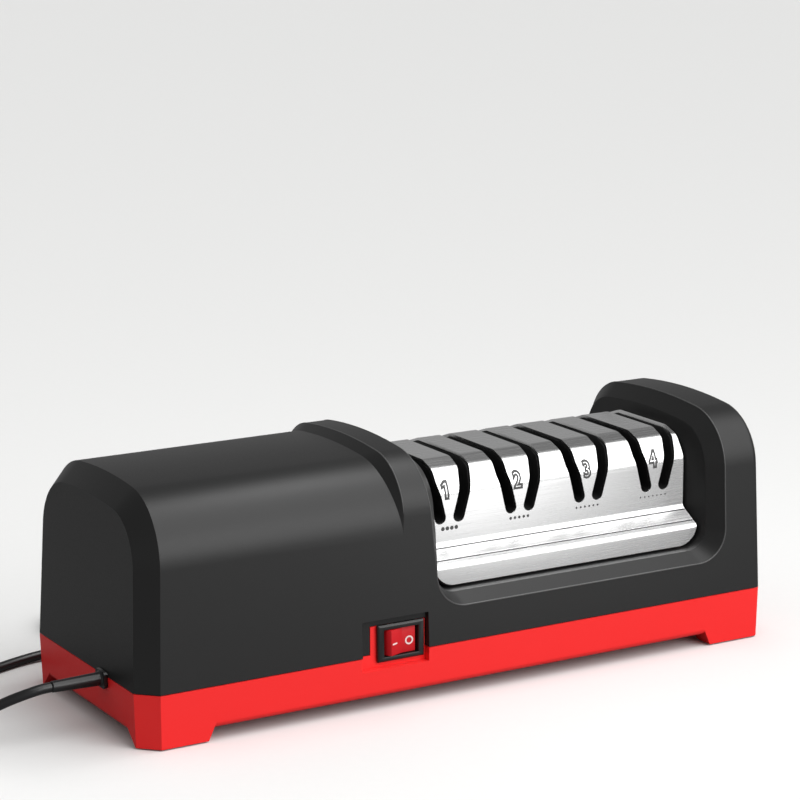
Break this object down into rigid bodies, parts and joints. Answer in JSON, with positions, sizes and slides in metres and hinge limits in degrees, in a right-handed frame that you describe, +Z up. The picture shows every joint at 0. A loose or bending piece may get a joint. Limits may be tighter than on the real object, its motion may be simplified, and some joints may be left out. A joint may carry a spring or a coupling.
{
  "type": "electric knife sharpener",
  "caption": "Bench knife sharpener: steel slotted cover over sprung abrasive discs on a motor-driven spindle, black casing on a red footed base, rocker switch, coiled mains lead.",
  "frame": {"origin": "on the table, at the middle of the casing's length and depth", "axes": "+X along the casing towards the small arch, +Y away from the switch's side, +Z up"},
  "size_m": [0.3387, 0.1916, 0.0999],
  "materials": {
    "black_abs": "fine grained ABS, near black",
    "red_abs": "smooth red ABS",
    "black_plastic": "matt black moulding",
    "rubber": "matt rubber",
    "brushed_steel": "brushed along the length",
    "steel": "ground",
    "zinc_plate": "zinc plated",
    "diamond": "diamond grit plated",
    "nylon": "natural nylon",
    "copper": "lacquered copper and laminations",
    "ferrite": "sintered",
    "carbon": "pressed carbon",
    "red_lens": "translucent red",
    "vinyl": "matt PVC",
    "board": "solder mask"
  },
  "bodies": {
    "housing": {"upper_housing": "black_abs", "base_tray": "red_abs", "foot_pad_1": "rubber", "foot_pad_2": "rubber", "foot_pad_3": "rubber", "foot_pad_4": "rubber", "housing_screw_1": "zinc_plate", "housing_screw_2": "zinc_plate", "housing_screw_3": "zinc_plate", "housing_screw_4": "zinc_plate", "guide_cover": "brushed_steel", "knife_guide": "black_plastic", "spindle_bearing_left": "steel", "spindle_bearing_right": "steel", "bearing_cap_left": "black_plastic", "bearing_cap_right": "black_plastic", "motor_can": "zinc_plate", "field_magnet_upper": "ferrite", "field_magnet_lower": "ferrite", "motor_end_cap": "nylon", "carbon_brush_front": "carbon", "carbon_brush_rear": "carbon", "motor_ring_left": "rubber", "motor_ring_right": "rubber", "motor_strap": "zinc_plate", "rectifier_board": "board", "switch_body": "black_plastic", "strain_relief": "vinyl", "cord_clamp": "nylon", "cord_lead": "vinyl", "cord_coil": "vinyl", "cord_tie": "vinyl", "plug_body": "vinyl", "plug_pin_1": "steel", "plug_pin_2": "steel"},
    "spindle": {"spindle_shaft": "steel", "stage_1_hub": "nylon", "stage_2_hub": "nylon", "stage_3_hub": "nylon", "stage_4_hub": "nylon", "stage_1_spring": "steel", "stage_2_spring": "steel", "stage_3_spring": "steel", "stage_4_spring": "steel", "coupling_motor_half": "nylon", "coupling_spider": "rubber", "coupling_spindle_half": "nylon", "motor_shaft": "steel", "armature": "copper", "commutator": "copper", "cooling_fan": "nylon"},
    "disc_1_left": {"stage_1_disc_left": "diamond"},
    "disc_1_right": {"stage_1_disc_right": "diamond"},
    "disc_2_left": {"stage_2_disc_left": "diamond"},
    "disc_2_right": {"stage_2_disc_right": "diamond"},
    "disc_3_left": {"stage_3_disc_left": "diamond"},
    "disc_3_right": {"stage_3_disc_right": "diamond"},
    "disc_4_left": {"stage_4_disc_left": "diamond"},
    "disc_4_right": {"stage_4_disc_right": "diamond"},
    "rocker": {"switch_rocker": "red_lens"}
  },
  "joints": [
    {"name": "spindle_turn", "type": "hinge", "parent": "housing", "child": "spindle", "pos_m": [0, 0, 0.046], "axis": [1, 0, 0], "continuous": true},
    {"name": "disc_1_left_slide", "type": "slide", "parent": "spindle", "child": "disc_1_left", "axis": [1, 0, 0], "range_m": [0, 0.0012], "stiffness_N_per_m": 1500, "springref_m": -0.004, "deforming": ["stage_1_spring"]},
    {"name": "disc_1_right_slide", "type": "slide", "parent": "spindle", "child": "disc_1_right", "axis": [-1, 0, 0], "range_m": [0, 0.0012], "stiffness_N_per_m": 1500, "springref_m": -0.004, "deforming": ["stage_1_spring"]},
    {"name": "disc_2_left_slide", "type": "slide", "parent": "spindle", "child": "disc_2_left", "axis": [1, 0, 0], "range_m": [0, 0.0012], "stiffness_N_per_m": 1500, "springref_m": -0.004, "deforming": ["stage_2_spring"]},
    {"name": "disc_2_right_slide", "type": "slide", "parent": "spindle", "child": "disc_2_right", "axis": [-1, 0, 0], "range_m": [0, 0.0012], "stiffness_N_per_m": 1500, "springref_m": -0.004, "deforming": ["stage_2_spring"]},
    {"name": "disc_3_left_slide", "type": "slide", "parent": "spindle", "child": "disc_3_left", "axis": [1, 0, 0], "range_m": [0, 0.0012], "stiffness_N_per_m": 1500, "springref_m": -0.004, "deforming": ["stage_3_spring"]},
    {"name": "disc_3_right_slide", "type": "slide", "parent": "spindle", "child": "disc_3_right", "axis": [-1, 0, 0], "range_m": [0, 0.0012], "stiffness_N_per_m": 1500, "springref_m": -0.004, "deforming": ["stage_3_spring"]},
    {"name": "disc_4_left_slide", "type": "slide", "parent": "spindle", "child": "disc_4_left", "axis": [1, 0, 0], "range_m": [0, 0.0012], "stiffness_N_per_m": 1500, "springref_m": -0.004, "deforming": ["stage_4_spring"]},
    {"name": "disc_4_right_slide", "type": "slide", "parent": "spindle", "child": "disc_4_right", "axis": [-1, 0, 0], "range_m": [0, 0.0012], "stiffness_N_per_m": 1500, "springref_m": -0.004, "deforming": ["stage_4_spring"]},
    {"name": "power_rocker", "type": "hinge", "parent": "housing", "child": "rocker", "pos_m": [-0.0314, -0.0468, 0.0262], "axis": [0, 0, -1], "range_deg": [0, 22]}
  ]
}
